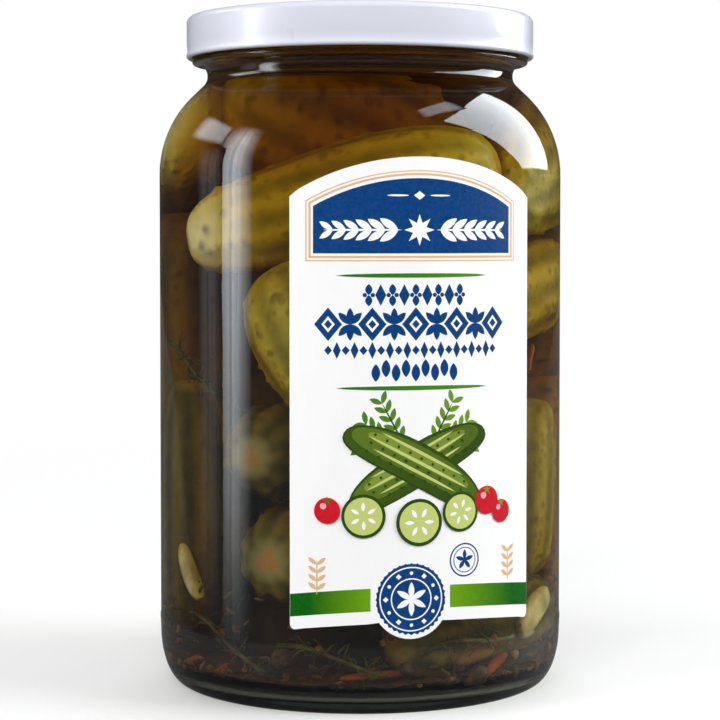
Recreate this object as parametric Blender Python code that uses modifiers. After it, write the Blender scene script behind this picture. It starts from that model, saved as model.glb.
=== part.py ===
"""A shut twist-off glass jar of pickled cucumbers.

Four pieces: the glass jar, its screwed-on white metal lid, the paper label on
its front, and the heap of pickles inside. Metres, +Z up, origin at the middle
of the ring that the jar stands on, label towards -Y and a little to +X.
"""

import math

import bmesh
import bpy
import numpy as np
from mathutils import Matrix, Vector

MM = 0.001

# Glass, outer side
BODY_RADIUS = 49.6 * MM
JAR_HEIGHT = 162.4 * MM
HEEL_WIDTH = 5.8 * MM
HEEL_HEIGHT = 13.0 * MM
SHOULDER_ARC = 26.6 * MM
SHOULDER_BASE = 125.0 * MM
NECK_RADIUS = 37.75 * MM
NECK_ARC = 3.5 * MM
NECK_LEVEL = 149.2 * MM
BEAD_RADIUS = 41.45 * MM
BEAD_LEVEL = 152.5 * MM
BEAD_ARC = 0.45 * MM
FINISH_RADIUS = 39.4 * MM
RIM_ARC = 0.9 * MM

# Glass, inner side
WALL = 2.4 * MM
NECK_WALL = 2.6 * MM
MOUTH_RADIUS = 35.5 * MM
INNER_HEEL_ARC = 6.5 * MM
INNER_FLOOR = 3.6 * MM
INNER_FLOOR_RISE = 1.6 * MM
FOOT_WIDTH = 2.4 * MM
PUSH_UP = 2.2 * MM

# Lid
LID_RADIUS = 42.95 * MM
LID_BOTTOM = 153.4 * MM
LID_TOP = 163.7 * MM
LID_SHEET = 0.7 * MM
LID_CORNER = 1.6 * MM
LID_TAPER = 0.1 * MM
CURL_ARC = 0.75 * MM
LID_RING_WIDTH = 4.6 * MM
LID_PANEL_DROP = 1.0 * MM
BUTTON_RADIUS = 11.0 * MM
BUTTON_RISE = 0.5 * MM

# Label
LABEL_GAP = 0.3 * MM
LABEL_PAPER = 0.3 * MM
LABEL_TURN = 16.6
LABEL_WIDTH = 61.2 * MM
LABEL_BOTTOM = 20.2 * MM
LABEL_SHOULDER = 119.2 * MM
LABEL_ARCH = 8.6 * MM
LABEL_BASE_ARCH = 1.9 * MM
SEAL_RADIUS = 9.1 * MM
SEAL_LEVEL = 27.3 * MM
SEAL_ALONG = -2.6 * MM

# Pickles
GLASS_CLEARANCE = 0.7 * MM
CORE_RADIUS = 27.0 * MM
CORE_BOTTOM = 8.0 * MM
CORE_TOP = 120.0 * MM
HEAP_TOP = 143.0 * MM

TURN_STEPS = 56
LABEL_STRIPS = 20
PICKLE_SIDES = 10
PICKLE_RINGS = 9
BALLS_PER_PICKLE = 9
SETTLE_ROUNDS = 400
SETTLE_STEP = 0.12

# Where each pickle starts before it settles: the angle round the jar from the
# front towards +X, the distance from the axis, the height of its middle, how
# far its top leans towards +X seen from outside and how far outwards, its
# length, its girth across, and how much it bows. Degrees and millimetres.
PICKLES = {
    "front_top": (-4, 25, 113.5, 74, 0, 72, 25, 2.5),
    "top_left": (-112, 28, 126, 66, 0, 50, 23, 2.0),
    "top_right": (88, 30, 124, 82, 0, 50, 24, 2.0),
    "top_back": (172, 26, 128, 84, 0, 60, 25, 2.0),
    "top_middle": (178, 4, 130, 80, 0, 54, 24, 2.0),
    "front_middle": (-21, 31, 79.0, -14, 0, 42, 28, 2.0),
    "right_high": (66, 30, 95, 78, 0, 54, 26, 2.0),
    "back_right_high": (138, 31, 94, -12, 0, 58, 29, 2.0),
    "back_high": (-162, 31, 95, 10, 0, 60, 30, 2.0),
    "left_high": (-112, 31, 92, -10, 0, 58, 28, 2.0),
    "end_high": (-27, 28, 63, 0, 89, 38, 24, 1.0),
    "end_low": (-27, 28, 39, 0, 89, 38, 24, 1.0),
    "front_low": (25, 33, 46, 0, 0, 46, 26, 2.0),
    "right_low": (74, 33, 47, 6, 0, 44, 26, 2.0),
    "right_bottom": (48, 32, 17, 87, 0, 50, 21, 1.0),
    "back_right_low": (122, 33, 42, -3, 0, 60, 27, -2.0),
    "back_low": (172, 32, 40, 4, 0, 62, 28, 2.5),
    "back_left_low": (-139, 33, 42, -5, 0, 62, 27, -2.0),
    "left_low": (-77, 33, 44, 4, 0, 62, 26, 2.0),
}

# Garlic cloves pressed against the glass: angle, distance from the axis, height,
# lean, length and girth, in degrees and millimetres.
CLOVES = {
    "clove_right": (64, 42.5, 19.0, 63, 16, 7),
    "clove_front": (36, 42.0, 12.5, 80, 11, 5),
    "clove_left": (-62, 42.8, 28.8, -35, 15, 5),
    "clove_back": (140, 42.5, 72.0, 40, 20, 8),
}


def clear_scene():
    for obj in list(bpy.data.objects):
        bpy.data.objects.remove(obj, do_unlink=True)


def new_collection(name):
    collection = bpy.data.collections.new(name)
    bpy.context.scene.collection.children.link(collection)
    return collection


def plain_material(name, colour, roughness, metallic=0.0, transmission=0.0):
    material = bpy.data.materials.new(name)
    material.use_nodes = True
    shader = material.node_tree.nodes["Principled BSDF"]
    shader.inputs["Base Color"].default_value = (*colour, 1.0)
    shader.inputs["Roughness"].default_value = roughness
    shader.inputs["Metallic"].default_value = metallic
    shader.inputs["Transmission Weight"].default_value = transmission
    material.diffuse_color = (*colour, 1.0)
    return material


def arc(centre, size, start, end, steps):
    """Points (radius, height) on an upright ellipse; 0 degrees is outwards."""
    points = []
    for step in range(steps + 1):
        angle = math.radians(start + (end - start) * step / steps)
        radius = centre[0] + size[0] * math.cos(angle)
        height = centre[1] + size[1] * math.sin(angle)
        points.append((radius, height))
    return points


def turned(name, profile, material, collection):
    """A solid of revolution. The profile runs down its outer side."""
    mesh = bpy.data.meshes.new(name)
    corners = [(max(radius, 0.0), 0.0, height) for radius, height in profile]
    edges = [(i, i + 1) for i in range(len(corners) - 1)]
    mesh.from_pydata(corners, edges, [])
    mesh.materials.append(material)
    obj = bpy.data.objects.new(name, mesh)
    collection.objects.link(obj)
    screw = obj.modifiers.new("Turn", "SCREW")
    screw.axis = "Z"
    screw.steps = TURN_STEPS
    screw.render_steps = TURN_STEPS
    screw.use_merge_vertices = True
    screw.merge_threshold = 0.00001
    screw.use_smooth_shade = True
    return obj


def inner_wall_radius(height):
    """How wide the inside of the jar is at a height."""
    body = BODY_RADIUS - WALL
    if height > SHOULDER_BASE:
        size = SHOULDER_ARC - WALL
        rise = min(height - SHOULDER_BASE, size * math.sin(math.radians(45)))
        drop = max(height - SHOULDER_BASE - rise, 0.0)
        arc_radius = math.sqrt(size**2 - rise**2)
        return max(body - size + arc_radius - drop, NECK_RADIUS - NECK_WALL)
    low = INNER_FLOOR + INNER_HEEL_ARC
    if height < low:
        depth = min(low - height, INNER_HEEL_ARC)
        return body - INNER_HEEL_ARC + math.sqrt(INNER_HEEL_ARC**2 - depth**2)
    return body


def make_jar(collection):
    body_inside = BODY_RADIUS - WALL
    shoulder_middle = (BODY_RADIUS - SHOULDER_ARC, SHOULDER_BASE)
    neck_middle = (NECK_RADIUS + NECK_ARC, NECK_LEVEL)
    inner_shoulder = SHOULDER_ARC - WALL
    inner_neck = NECK_ARC + NECK_WALL
    profile = [(0.0, INNER_FLOOR + INNER_FLOOR_RISE)]
    profile += [(0.5 * body_inside, INNER_FLOOR + 0.7 * INNER_FLOOR_RISE)]
    heel_middle = (body_inside - INNER_HEEL_ARC, INNER_FLOOR + INNER_HEEL_ARC)
    profile += arc(heel_middle, (INNER_HEEL_ARC,) * 2, -90, 0, 5)
    profile += arc(shoulder_middle, (inner_shoulder,) * 2, 0, 45, 5)
    profile += arc(neck_middle, (inner_neck,) * 2, 225, 180, 3)
    # The rim that seals against the lid
    rim_inside = (MOUTH_RADIUS + RIM_ARC, JAR_HEIGHT - RIM_ARC)
    profile += arc(rim_inside, (RIM_ARC,) * 2, 180, 90, 2)
    rim_outside = (FINISH_RADIUS - RIM_ARC, JAR_HEIGHT - RIM_ARC)
    profile += arc(rim_outside, (RIM_ARC,) * 2, 90, 0, 2)
    profile += [(FINISH_RADIUS, BEAD_LEVEL + 2 * BEAD_ARC)]
    bead_middle = (BEAD_RADIUS - BEAD_ARC, BEAD_LEVEL)
    profile += arc(bead_middle, (BEAD_ARC,) * 2, 90, -90, 4)
    profile += arc(neck_middle, (NECK_ARC,) * 2, 126, 225, 6)
    profile += arc(shoulder_middle, (SHOULDER_ARC,) * 2, 45, 0, 7)
    foot_outside = BODY_RADIUS - HEEL_WIDTH
    profile += arc((foot_outside, HEEL_HEIGHT), (HEEL_WIDTH, HEEL_HEIGHT), 0, -90, 7)
    # Under the jar: the foot ring, then the push-up
    foot_inside = foot_outside - FOOT_WIDTH
    profile += [(foot_inside, 0.0)]
    profile += [(foot_inside - PUSH_UP, 0.7 * PUSH_UP)]
    profile += [(0.5 * foot_inside, PUSH_UP), (0.0, 1.1 * PUSH_UP)]
    glass = plain_material("glass", (0.83, 0.90, 0.86), 0.02, transmission=1.0)
    return turned("glass_jar", profile, glass, collection)


def make_lid(collection):
    side_inside = LID_RADIUS - LID_SHEET
    ring_inside = LID_RADIUS - LID_CORNER - LID_RING_WIDTH
    panel_edge = ring_inside - LID_PANEL_DROP
    panel_top = LID_TOP - LID_PANEL_DROP
    button_edge = BUTTON_RADIUS + 2 * BUTTON_RISE
    profile = [(0.0, panel_top + BUTTON_RISE), (BUTTON_RADIUS, panel_top + BUTTON_RISE)]
    profile += [(button_edge, panel_top), (panel_edge, panel_top)]
    profile += [(ring_inside, LID_TOP)]
    corner = (LID_RADIUS - LID_TAPER - LID_CORNER, LID_TOP - LID_CORNER)
    profile += arc(corner, (LID_CORNER,) * 2, 90, 0, 4)
    profile += arc((LID_RADIUS - CURL_ARC, LID_BOTTOM + CURL_ARC), (CURL_ARC,) * 2, 0, -180, 5)
    # Inside of the lid, going up and back to the axis
    profile += [(side_inside - LID_TAPER, LID_BOTTOM + 3 * CURL_ARC)]
    inner_corner = LID_CORNER - LID_SHEET
    profile += arc(corner, (inner_corner,) * 2, 0, 90, 2)
    profile += [(ring_inside - 0.5 * LID_SHEET, LID_TOP - LID_SHEET)]
    profile += [(panel_edge - 0.5 * LID_SHEET, panel_top - LID_SHEET)]
    profile += [(0.0, panel_top - LID_SHEET)]
    paint = plain_material("lid_white", (0.86, 0.86, 0.89), 0.3)
    return turned("lid", profile, paint, collection)


def label_outline():
    """The label laid flat: (along the glass, height), counterclockwise."""
    half = 0.5 * LABEL_WIDTH
    arch_radius = (half**2 + LABEL_ARCH**2) / (2 * LABEL_ARCH)
    arch_half = math.degrees(math.asin(half / arch_radius))
    arch_middle = (0.0, LABEL_SHOULDER + LABEL_ARCH - arch_radius)
    top = arc(arch_middle, (arch_radius,) * 2, 90 - arch_half, 90 + arch_half, 16)
    base_radius = (half**2 + LABEL_BASE_ARCH**2) / (2 * LABEL_BASE_ARCH)
    base_middle = LABEL_BOTTOM + LABEL_BASE_ARCH - base_radius

    def base_height(along):
        return base_middle + math.sqrt(base_radius**2 - along**2)

    # The round seal stands out below the bottom edge
    seal_top = LABEL_BOTTOM + LABEL_BASE_ARCH - SEAL_LEVEL
    seal_angle = math.degrees(math.asin(seal_top / SEAL_RADIUS))
    seal_size = (SEAL_RADIUS,) * 2
    seal = arc((SEAL_ALONG, SEAL_LEVEL), seal_size, 180 - seal_angle, 360 + seal_angle, 12)
    base = []
    for share in (1.0, 0.8, 0.6):
        base.append((-half * share, base_height(half * share)))
    mirrored = [(-along, height) for along, height in reversed(base)]
    return top + base + seal + mirrored


def wrap(mesh, turn):
    """Bends a flat mesh (x along the glass, y inwards, z up) round the jar."""
    reach = BODY_RADIUS + LABEL_GAP
    for vertex in mesh.vertices:
        angle = vertex.co.x / reach + math.radians(turn)
        radius = reach - vertex.co.y
        vertex.co = (radius * math.sin(angle), -radius * math.cos(angle), vertex.co.z)
    mesh.update()


def mesh_from(obj, name):
    """A new mesh of what modifiers and curve settings make of an object."""
    graph = bpy.context.evaluated_depsgraph_get()
    graph.update()
    mesh = bpy.data.meshes.new_from_object(obj.evaluated_get(graph))
    mesh.name = name
    return mesh


def make_label(collection):
    curve = bpy.data.curves.new("label_outline", "CURVE")
    curve.dimensions = "2D"
    curve.fill_mode = "BOTH"
    curve.extrude = 0.5 * LABEL_PAPER
    outline = label_outline()
    spline = curve.splines.new("POLY")
    spline.points.add(len(outline) - 1)
    for point, (along, height) in zip(spline.points, outline):
        point.co = (along, height, 0.0, 1.0)
    spline.use_cyclic_u = True
    flat = bpy.data.objects.new("label_outline", curve)
    collection.objects.link(flat)
    mesh = mesh_from(flat, "label")
    bpy.data.objects.remove(flat, do_unlink=True)
    # Stand it up, then cut it into upright strips so that it can bend
    stand = Matrix.Rotation(math.radians(90), 4, "X")
    mesh.transform(Matrix.Translation((0.0, -0.5 * LABEL_PAPER, 0.0)) @ stand)
    flat_mesh = bmesh.new()
    flat_mesh.from_mesh(mesh)
    bmesh.ops.remove_doubles(flat_mesh, verts=flat_mesh.verts, dist=0.01 * MM)
    for strip in range(1, LABEL_STRIPS):
        along = LABEL_WIDTH * (strip / LABEL_STRIPS - 0.5)
        everything = flat_mesh.verts[:] + flat_mesh.edges[:] + flat_mesh.faces[:]
        bmesh.ops.bisect_plane(
            flat_mesh,
            geom=everything,
            dist=0.001 * MM,
            plane_co=(along, 0.0, 0.0),
            plane_no=(1.0, 0.0, 0.0),
        )
    bmesh.ops.triangulate(flat_mesh, faces=flat_mesh.faces[:])
    bmesh.ops.recalc_face_normals(flat_mesh, faces=flat_mesh.faces[:])
    flat_mesh.to_mesh(mesh)
    flat_mesh.free()
    wrap(mesh, LABEL_TURN)
    mesh.materials.append(plain_material("label_paper", (0.9, 0.9, 0.88), 0.5))
    label = bpy.data.objects.new("label", mesh)
    collection.objects.link(label)
    return label


def around(turn, distance, height):
    """A point at an angle in degrees from the front towards +X."""
    angle = math.radians(turn)
    return np.array([distance * math.sin(angle), -distance * math.cos(angle), height])


def leaning(turn, lean, tip=0.0):
    """An upright direction leant towards +X seen from outside, or outwards."""
    across = around(turn + 90.0, 1.0, 0.0)
    outwards = around(turn, 1.0, 0.0)
    lean, tip = math.radians(lean), math.radians(tip)
    up = np.array([0.0, 0.0, math.cos(lean) * math.cos(tip)])
    return across * math.sin(lean) + outwards * math.cos(lean) * math.sin(tip) + up


def settled_pickles():
    """Middle and direction of each pickle once none lies in another or the glass.

    Each pickle is a row of balls. Balls that meet push their pickles apart and
    turn them, and balls that reach the glass are pushed back in.
    """
    rows = np.array(list(PICKLES.values()), dtype=float)
    middles = np.array([around(row[0], row[1] * MM, row[2] * MM) for row in rows])
    ways = np.array([leaning(row[0], row[3], row[4]) for row in rows])
    lengths = rows[:, 5] * MM
    girths = rows[:, 6] * MM
    count = len(rows)
    places = np.linspace(-1.0, 1.0, BALLS_PER_PICKLE)
    sizes = 0.5 * girths[:, None] * (0.6 + 0.4 * np.sqrt(1.0 - places**2))[None, :]
    reach = (0.5 * lengths[:, None] - sizes) * places[None, :]
    owner = np.repeat(np.arange(count), BALLS_PER_PICKLE)
    other = owner[:, None] != owner[None, :]
    for _ in range(SETTLE_ROUNDS):
        balls = (middles[:, None, :] + ways[:, None, :] * reach[:, :, None]).reshape(-1, 3)
        radii = sizes.reshape(-1)
        apart = balls[:, None, :] - balls[None, :, :]
        distance = np.linalg.norm(apart, axis=2) + 1e-9
        overlap = np.where(other, radii[:, None] + radii[None, :] - distance, 0.0)
        overlap = np.maximum(overlap, 0.0)
        push = 0.5 * (apart / distance[:, :, None] * overlap[:, :, None]).sum(axis=1)
        for i, (ball, radius) in enumerate(zip(balls, radii)):
            from_axis = math.hypot(ball[0], ball[1])
            room = inner_wall_radius(ball[2]) - GLASS_CLEARANCE - radius
            if from_axis > room:
                push[i, :2] -= ball[:2] / from_axis * (from_axis - room)
            floor = INNER_FLOOR + INNER_FLOOR_RISE + GLASS_CLEARANCE + radius
            push[i, 2] += max(floor - ball[2], 0.0)
            push[i, 2] -= max(ball[2] + radius - HEAP_TOP, 0.0)
        shares = push.reshape(count, BALLS_PER_PICKLE, 3)
        middles += SETTLE_STEP * shares.sum(axis=1) / 3
        arms = ways[:, None, :] * reach[:, :, None]
        turns = np.cross(arms, shares).sum(axis=1) / (reach**2).sum(axis=1)[:, None]
        ways += SETTLE_STEP * np.cross(turns, ways)
        ways /= np.linalg.norm(ways, axis=1)[:, None]
    return middles, ways


def press_inside(mesh):
    """Flattens what would stand into the glass against its inner side."""
    for vertex in mesh.vertices:
        from_axis = math.hypot(vertex.co.x, vertex.co.y)
        room = inner_wall_radius(vertex.co.z) - GLASS_CLEARANCE
        if from_axis > room:
            vertex.co.x *= room / from_axis
            vertex.co.y *= room / from_axis
        vertex.co.z = max(vertex.co.z, INNER_FLOOR + INNER_FLOOR_RISE + GLASS_CLEARANCE)


def bulged(name, middle, way, length, girth, bow, sides, rings):
    """A pickle or a clove: a ball drawn out along its way, blunt and bowed."""
    mesh = bpy.data.meshes.new(name)
    ball = bmesh.new()
    bmesh.ops.create_uvsphere(ball, u_segments=sides, v_segments=rings, radius=1.0)
    for vertex in ball.verts:
        share = vertex.co.z
        blunt = math.copysign(abs(share) ** 0.85, share)
        round_share = math.hypot(vertex.co.x, vertex.co.y)
        fat = round_share**0.72 / round_share if round_share > 1e-6 else 0.0
        vertex.co.x = 0.5 * girth * vertex.co.x * fat + bow * (0.4 - share**2)
        vertex.co.y = 0.5 * girth * vertex.co.y * fat
        vertex.co.z = 0.5 * length * blunt
    ball.to_mesh(mesh)
    ball.free()
    turn = Vector(way).to_track_quat("Z", "Y")
    mesh.transform(Matrix.Translation(Vector(middle)) @ turn.to_matrix().to_4x4())
    press_inside(mesh)
    return bpy.data.objects.new(name, mesh)


def make_pickles(collection):
    """One heap: a plain core with every pickle and clove fused on."""
    fused = new_collection("fused_pickles")
    middles, ways = settled_pickles()
    for (name, row), middle, way in zip(PICKLES.items(), middles, ways):
        length, girth, bow = (value * MM for value in row[5:8])
        piece = bulged(name, middle, way, length, girth, bow, PICKLE_SIDES, PICKLE_RINGS)
        fused.objects.link(piece)
    for name, (turn, distance, height, lean, length, girth) in CLOVES.items():
        middle = around(turn, distance * MM, height * MM)
        way = leaning(turn, lean)
        piece = bulged(name, middle, way, length * MM, girth * MM, 1.0 * MM, 8, 6)
        fused.objects.link(piece)
    bpy.ops.mesh.primitive_cylinder_add(
        vertices=16,
        radius=CORE_RADIUS,
        depth=CORE_TOP - CORE_BOTTOM,
        location=(0.0, 0.0, 0.5 * (CORE_TOP + CORE_BOTTOM)),
    )
    core = bpy.context.active_object
    join = core.modifiers.new("Join", "BOOLEAN")
    join.operation = "UNION"
    join.operand_type = "COLLECTION"
    join.collection = fused
    join.solver = "MANIFOLD"
    mesh = mesh_from(core, "pickles")
    mesh.transform(core.matrix_world)
    for obj in [core, *fused.objects]:
        bpy.data.objects.remove(obj, do_unlink=True)
    bpy.data.collections.remove(fused)
    mesh.materials.clear()
    mesh.materials.append(plain_material("pickle_green", (0.30, 0.27, 0.05), 0.4))
    pickles = bpy.data.objects.new("pickles", mesh)
    collection.objects.link(pickles)
    return pickles


def main():
    clear_scene()
    jar_of_pickles = new_collection("pickle_jar")
    make_jar(jar_of_pickles)
    make_lid(jar_of_pickles)
    make_label(jar_of_pickles)
    make_pickles(jar_of_pickles)


main()
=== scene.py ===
"""Looks of the pickle jar: glass, brine, pickles, lid, printed label and studio."""

import math

import bmesh
import bpy
import numpy as np
from mathutils import Matrix, Vector


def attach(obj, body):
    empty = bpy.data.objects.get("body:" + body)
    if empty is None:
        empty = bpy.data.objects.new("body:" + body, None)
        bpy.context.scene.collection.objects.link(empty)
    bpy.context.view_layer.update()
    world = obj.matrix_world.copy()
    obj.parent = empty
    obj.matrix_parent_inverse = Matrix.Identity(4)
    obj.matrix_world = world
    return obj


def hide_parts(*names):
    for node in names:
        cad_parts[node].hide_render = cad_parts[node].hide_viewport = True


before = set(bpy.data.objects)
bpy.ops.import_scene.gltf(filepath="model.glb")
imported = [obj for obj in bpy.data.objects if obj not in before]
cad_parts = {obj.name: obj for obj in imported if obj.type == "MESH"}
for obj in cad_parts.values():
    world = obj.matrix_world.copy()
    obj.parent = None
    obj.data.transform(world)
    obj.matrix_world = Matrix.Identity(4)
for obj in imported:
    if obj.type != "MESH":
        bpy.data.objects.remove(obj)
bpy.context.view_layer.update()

MM = 0.001
PURE_WHITE = (1.0, 1.0, 1.0, 1.0)

# Glass, outer side
BODY_RADIUS = 49.6 * MM
JAR_HEIGHT = 162.4 * MM
HEEL_WIDTH = 5.8 * MM
HEEL_HEIGHT = 13.0 * MM
SHOULDER_ARC = 26.6 * MM
SHOULDER_BASE = 125.0 * MM
NECK_RADIUS = 37.75 * MM
NECK_ARC = 3.5 * MM
NECK_LEVEL = 149.2 * MM
SHOULDER_CENTRE = (BODY_RADIUS - SHOULDER_ARC, SHOULDER_BASE)
NECK_CENTRE = (NECK_RADIUS + NECK_ARC, NECK_LEVEL)
BEAD_RADIUS = 41.45 * MM
BEAD_LEVEL = 152.5 * MM
BEAD_ARC = 0.45 * MM
FINISH_RADIUS = 39.4 * MM
RIM_ARC = 0.9 * MM
MOULD_LINE_LEVEL = 16.2 * MM
MOULD_LINE_HEIGHT = 0.14 * MM

# Glass, inner side
WALL = 2.4 * MM
NECK_WALL = 2.6 * MM
MOUTH_RADIUS = 35.5 * MM
INNER_HEEL_ARC = 6.5 * MM
INNER_FLOOR = 3.6 * MM
INNER_FLOOR_RISE = 1.6 * MM
FOOT_WIDTH = 2.4 * MM
PUSH_UP = 2.2 * MM

# Lid
LID_RADIUS = 42.95 * MM
LID_BOTTOM = 153.4 * MM
LID_TOP = 163.7 * MM
LID_SHEET = 0.7 * MM
LID_CORNER = 1.6 * MM
LID_TAPER = 0.1 * MM
CURL_ARC = 0.75 * MM
LID_RING_WIDTH = 4.6 * MM
LID_PANEL_DROP = 1.0 * MM
BUTTON_RADIUS = 11.0 * MM
BUTTON_RISE = 0.5 * MM

# Label
LABEL_TURN = 16.6
LABEL_WIDTH = 61.2 * MM
LABEL_BOTTOM = 20.2 * MM
LABEL_SHOULDER = 119.2 * MM
LABEL_ARCH = 8.6 * MM
LABEL_BASE_ARCH = 1.9 * MM
LABEL_CORNER = 1.2 * MM
SEAL_RADIUS = 9.1 * MM
SEAL_LEVEL = 27.3 * MM
SEAL_ALONG = -2.6 * MM
LABEL_BACK = 0.03 * MM
LABEL_PAPER = 0.12 * MM
INK_STEP = 0.02 * MM

# Printed fields
PANEL_MIDDLE = -0.75 * MM
PANEL_HALF = 24.3 * MM
PANEL_BOTTOM = 105.9 * MM
PANEL_SHOULDER = 116.6 * MM
PANEL_RISE = 6.3 * MM
GARLAND_LEVEL = 111.2 * MM
DASH_LEVEL = 119.0 * MM
STRIP_MIDDLE = -1.6 * MM
STRIP_WIDTH = 36.6 * MM
STRIP_LEVELS = (100.9 * MM, 75.4 * MM)
STILL_LIFE_MIDDLE = -1.0 * MM
BAND_LOW = 2.9 * MM
BAND_HIGH = 8.1 * MM
BAND_GAP = 9.4 * MM

# Contents
BRINE_IN_WALL = 0.35 * MM
BRINE_LEVEL = 157.0 * MM
GLASS_CLEARANCE = 0.5 * MM
CORE_RADIUS = 25.0 * MM
CORE_BOTTOM = 8.0 * MM
CORE_TOP = 119.0 * MM
HEAP_TOP = 143.0 * MM
PICKLE_CLEARANCE = 0.7 * MM
BALLS_PER_PICKLE = 9
SETTLE_ROUNDS = 400
SETTLE_STEP = 0.12

TURN_STEPS = 192
PICKLE_SIDES = 60
PICKLE_RINGS = 84
WARTS = 110
WART_ROWS = 9
DRIFT_RADIUS = 44.0 * MM
DRIFT_DEPTH = 1.7 * MM
WART_LIFT = 0.95 * MM
RIB_LIFT = 0.22 * MM
LUMP_LIFT = 0.16 * MM

# How blunt a pickle's sides and its ends are drawn
SIDE_BLUNTNESS = 0.28
END_BLUNTNESS = 0.85

# Studio
WINDOW_LIGHT = (0.88, 0.95, 1.0, 1.0)
FLOOR_BOUNCE = (0.14, 0.14, 0.14, 1.0)
CAMERA_DISTANCE = 0.525
CAMERA_LEVEL = 0.1094
CAMERA_TILT = 2.15
CAMERA_LENS = 105.4
CAMERA_SHIFT = -0.0597

# Where each pickle starts before it settles: the angle round the jar from the
# front towards +X, the distance from the axis, the height of its middle, how
# far its top leans towards +X seen from outside and how far outwards, its
# length, its girth across, and how much it bows. Degrees and millimetres.
PICKLES = {
    "front_top": (-4, 25, 113.5, 74, 0, 72, 25, 2.5),
    "top_left": (-112, 28, 126, 66, 0, 50, 23, 2.0),
    "top_right": (88, 30, 124, 82, 0, 50, 24, 2.0),
    "top_back": (172, 26, 128, 84, 0, 60, 25, 2.0),
    "top_middle": (178, 4, 130, 80, 0, 54, 24, 2.0),
    "front_middle": (-21, 31, 79.0, -14, 0, 42, 28, 2.0),
    "right_high": (66, 30, 95, 78, 0, 54, 26, 2.0),
    "back_right_high": (138, 31, 94, -12, 0, 58, 29, 2.0),
    "back_high": (-162, 31, 95, 10, 0, 60, 30, 2.0),
    "left_high": (-112, 31, 92, -10, 0, 58, 28, 2.0),
    "end_high": (-27, 28, 63, 0, 89, 38, 24, 1.0),
    "end_low": (-27, 28, 39, 0, 89, 38, 24, 1.0),
    "front_low": (25, 33, 46, 0, 0, 46, 26, 2.0),
    "right_low": (74, 33, 47, 6, 0, 44, 26, 2.0),
    "right_bottom": (48, 32, 17, 87, 0, 50, 21, 1.0),
    "back_right_low": (122, 33, 42, -3, 0, 60, 27, -2.0),
    "back_low": (172, 32, 40, 4, 0, 62, 28, 2.5),
    "back_left_low": (-139, 33, 42, -5, 0, 62, 27, -2.0),
    "left_low": (-77, 33, 44, 4, 0, 62, 26, 2.0),
}

# How ripe each pickle is, from dark green at 0 to pale yellow at 1. The values are partly each pickle's own
# colour and partly painted shade and light: the pickles low on the left and at the bottom are set darkest as
# painted shade, and some high ones, such as right_high, palest as painted light.
RIPENESS = {
    "front_top": 0.95,
    "top_left": 1.0,
    "top_middle": 0.9,
    "top_right": 0.9,
    "front_middle": 0.88,
    "right_high": 1.0,
    "right_low": 0.75,
    "end_high": -0.2,
    "end_low": 0.1,
    "left_high": 0.1,
    "left_low": -0.2,
    "right_bottom": -0.2,
}

# Where along its half length a pickle's pale end starts, if it has a large one
PALE_ENDS = {"front_top": (-1, 0.42), "top_left": (1, 0.3), "end_low": (1, 0.93)}

# How far the scar at a pickle's ends shows
SCARS = {"front_top": 0.5, "end_high": 0.5, "end_low": 0.65}

# Garlic cloves, given as the pickles are but without an outward lean and a bow
CLOVES = {
    "clove_right": (64, 42.5, 19.0, 63, 16, 7),
    "clove_front": (36, 42.0, 12.5, 80, 11, 5),
    "clove_left": (-62, 42.8, 28.8, -35, 15, 5),
    "clove_back": (140, 42.5, 72.0, 40, 20, 8),
}

# How far the spices have browned a clove
BROWNED = {"clove_front": 0.85}

# Bits of pepper and carrot at the glass, in the same terms as the cloves
VEGETABLE_BITS = {
    "red_right": (59, 44.0, 80.5, 20, 7, 3.6),
    "orange_front": (45, 42.0, 9.5, 60, 7.5, 5),
    "amber_stick": (4, 42.0, 9.0, 86, 15, 3.4),
    "left_heel": (-62, 41.5, 8.5, 70, 7, 3.4),
    "left_front_heel": (-47, 41.5, 8.0, 60, 6, 3),
    "back_right": (122, 43.0, 12.0, 50, 9, 3.6),
    "back": (-170, 43.0, 9.5, 80, 12, 3.6),
    "back_left": (-128, 43.0, 15.0, 30, 8, 3.4),
}

# Dill stalks along the glass: angle and height of one end and of the other
DILL_STALKS = {
    "front_twig": (17, 14.0, 50, 16.5),
    "left_front": (-58, 20.0, -26, 9.5),
    "middle_front": (-24, 15.5, 8, 10.5),
    "left": (-104, 12.0, -70, 21.0),
    "right": (74, 27.0, 108, 12.0),
    "back_right": (128, 16.0, 160, 11.0),
    "back_left": (-166, 10.0, -136, 19.0),
    "high_left": (-72, 84.0, -46, 74.0),
    "high_right": (92, 80.0, 112, 66.0),
}


def srgb(red, green, blue):
    """A colour given as 0 to 255 on a screen, as linear light."""
    light = []
    for part in (red, green, blue):
        share = part / 255.0
        light.append(share / 12.92 if share <= 0.04045 else ((share + 0.055) / 1.055) ** 2.4)
    return (*light, 1.0)


# Shader nodes


def add(tree, kind, inputs=None, **settings):
    """A shader node with its settings, and its inputs linked or set."""
    node = tree.nodes.new("ShaderNode" + kind)
    for key, value in settings.items():
        setattr(node, key, value)
    for key, value in (inputs or {}).items():
        if isinstance(value, bpy.types.NodeSocket):
            tree.links.new(value, node.inputs[key])
        else:
            node.inputs[key].default_value = value
    return node


def material(name, **sockets):
    """A material and its Principled shader, with plain socket values set."""
    made = bpy.data.materials.new(name)
    made.use_nodes = True
    shader = made.node_tree.nodes["Principled BSDF"]
    for key, value in sockets.items():
        shader.inputs[key.replace("_", " ")].default_value = value
    return made, made.node_tree, shader


def wire(tree, node, **sockets):
    """Links values to a node's sockets, whose names are given with _ for a blank."""
    for key, value in sockets.items():
        tree.links.new(value, node.inputs[key.replace("_", " ")])


def put_out(tree, **sockets):
    wire(tree, tree.nodes["Material Output"], **sockets)


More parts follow.
